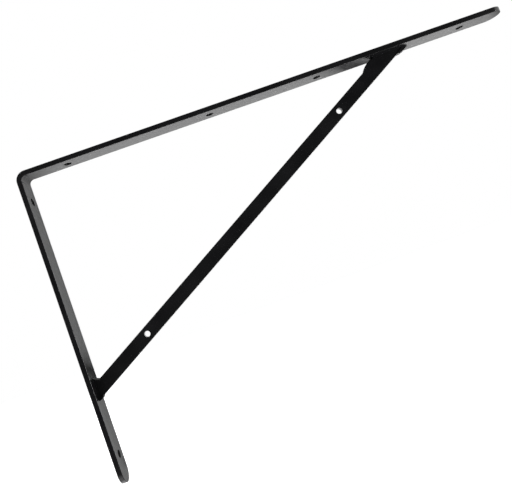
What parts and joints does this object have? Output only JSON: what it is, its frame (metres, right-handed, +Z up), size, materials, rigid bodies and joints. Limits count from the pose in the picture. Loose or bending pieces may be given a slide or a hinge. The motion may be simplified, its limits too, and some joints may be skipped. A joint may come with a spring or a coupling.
{
  "type": "gallows shelf bracket",
  "caption": "L-shaped flat-bar shelf bracket with a welded diagonal brace, drilled for screws along both legs.",
  "frame": {"origin": "on the wall face, midway between the two wall screw holes", "axes": "+X out from the wall along the shelf leg, +Z up towards the shelf, +Y across the width of the bar"},
  "size_m": [0.52, 0.025, 0.32],
  "materials": {
    "black_coat": "satin black coating on mild steel"
  },
  "bodies": {
    "root": {"arm_bar": "black_coat", "brace_bar": "black_coat", "shelf_weld_corner": "black_coat", "shelf_weld_toe": "black_coat", "wall_weld_corner": "black_coat", "wall_weld_toe": "black_coat"}
  },
  "joints": []
}
